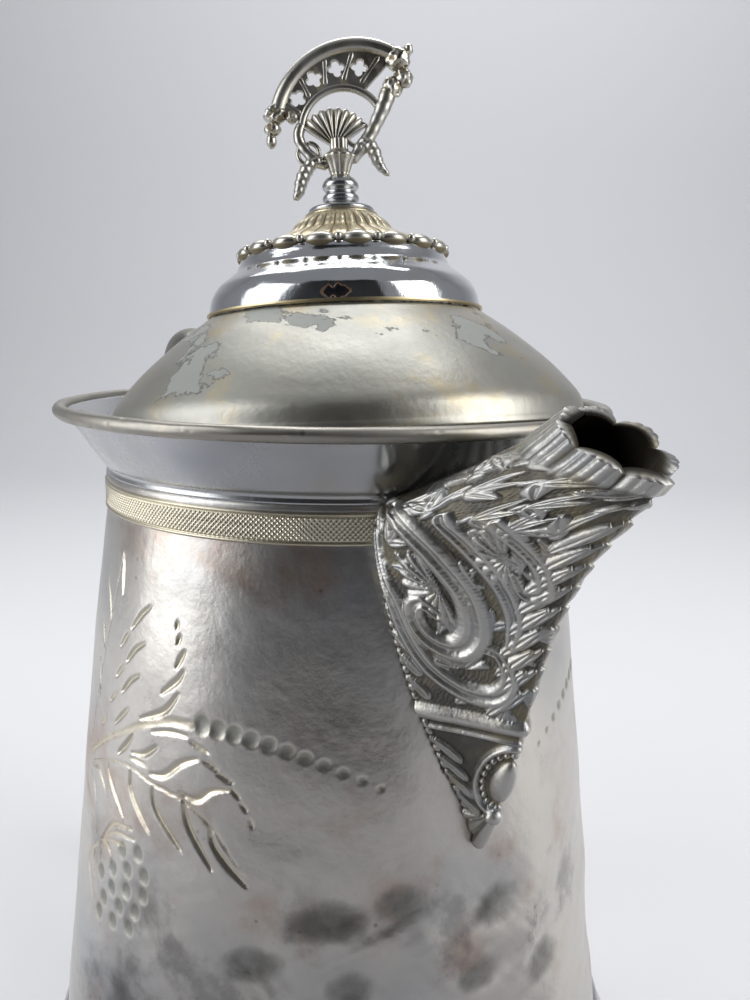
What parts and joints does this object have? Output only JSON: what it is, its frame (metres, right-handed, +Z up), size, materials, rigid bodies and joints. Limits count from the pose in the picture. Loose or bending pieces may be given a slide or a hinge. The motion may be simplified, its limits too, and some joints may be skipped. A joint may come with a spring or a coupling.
{
  "type": "coffee pot",
  "caption": "Lidded metal coffee pot with a tapered body, cast relief spout, hinged domed lid with openwork finial, and an insulated loop handle.",
  "frame": {"origin": "centre of the foot's resting face, on the pot's axis", "axes": "+Z up along the pot's axis, +X towards the spout, -X towards the handle and hinge"},
  "size_m": [0.2386, 0.1538, 0.2571],
  "materials": {
    "body_plate": "worn silver plate, satin, engraved, with dents and dark specks",
    "gallery_plate": "worn silver plate, bluish and bright",
    "rim_brass": "plating worn through to a brownish metal, pitted",
    "band_gilt": "pale gold knurled strip",
    "cast_silver": "cast relief, polished high spots and yellow-brown recesses",
    "finial_silver": "cast openwork, bright with gilt-brown recesses",
    "lid_pewter": "plating worn off in irregular dull patches",
    "lid_bright": "mirror-bright plate with a small tear",
    "boss_metal": "greyish bosses with dark seams",
    "gilt_wash": "gold wash, worn",
    "bone": "aged bone, smooth",
    "fastener": "plain turned brass"
  },
  "bodies": {
    "pot": {"body_shell": "body_plate", "base_plate": "body_plate", "foot_ring": "body_plate", "knurled_band": "band_gilt", "gallery": "gallery_plate", "rim_wire": "rim_brass", "spout": "cast_silver", "handle_grip": "cast_silver", "upper_socket": "cast_silver", "lower_socket": "cast_silver", "upper_insulator": "bone", "lower_insulator": "bone", "upper_cross_pin": "fastener", "lower_cross_pin": "fastener", "hinge_bracket": "cast_silver", "hinge_pin": "fastener"},
    "lid": {"lid_dome": "lid_pewter", "lid_bezel": "lid_pewter", "lid_crown": "lid_bright", "crown_wire": "gilt_wash", "boss_band": "boss_metal", "finial_bell": "gilt_wash", "finial_disc": "finial_silver", "finial_cup": "finial_silver", "finial": "finial_silver", "finial_stud": "fastener", "finial_washer": "fastener", "finial_nut": "fastener", "lid_leaf": "cast_silver"}
  },
  "joints": [
    {"name": "lid_hinge", "type": "hinge", "parent": "pot", "child": "lid", "pos_m": [-0.069, 0, 0.175], "axis": [0, -1, 0], "range_deg": [0, 100]}
  ]
}
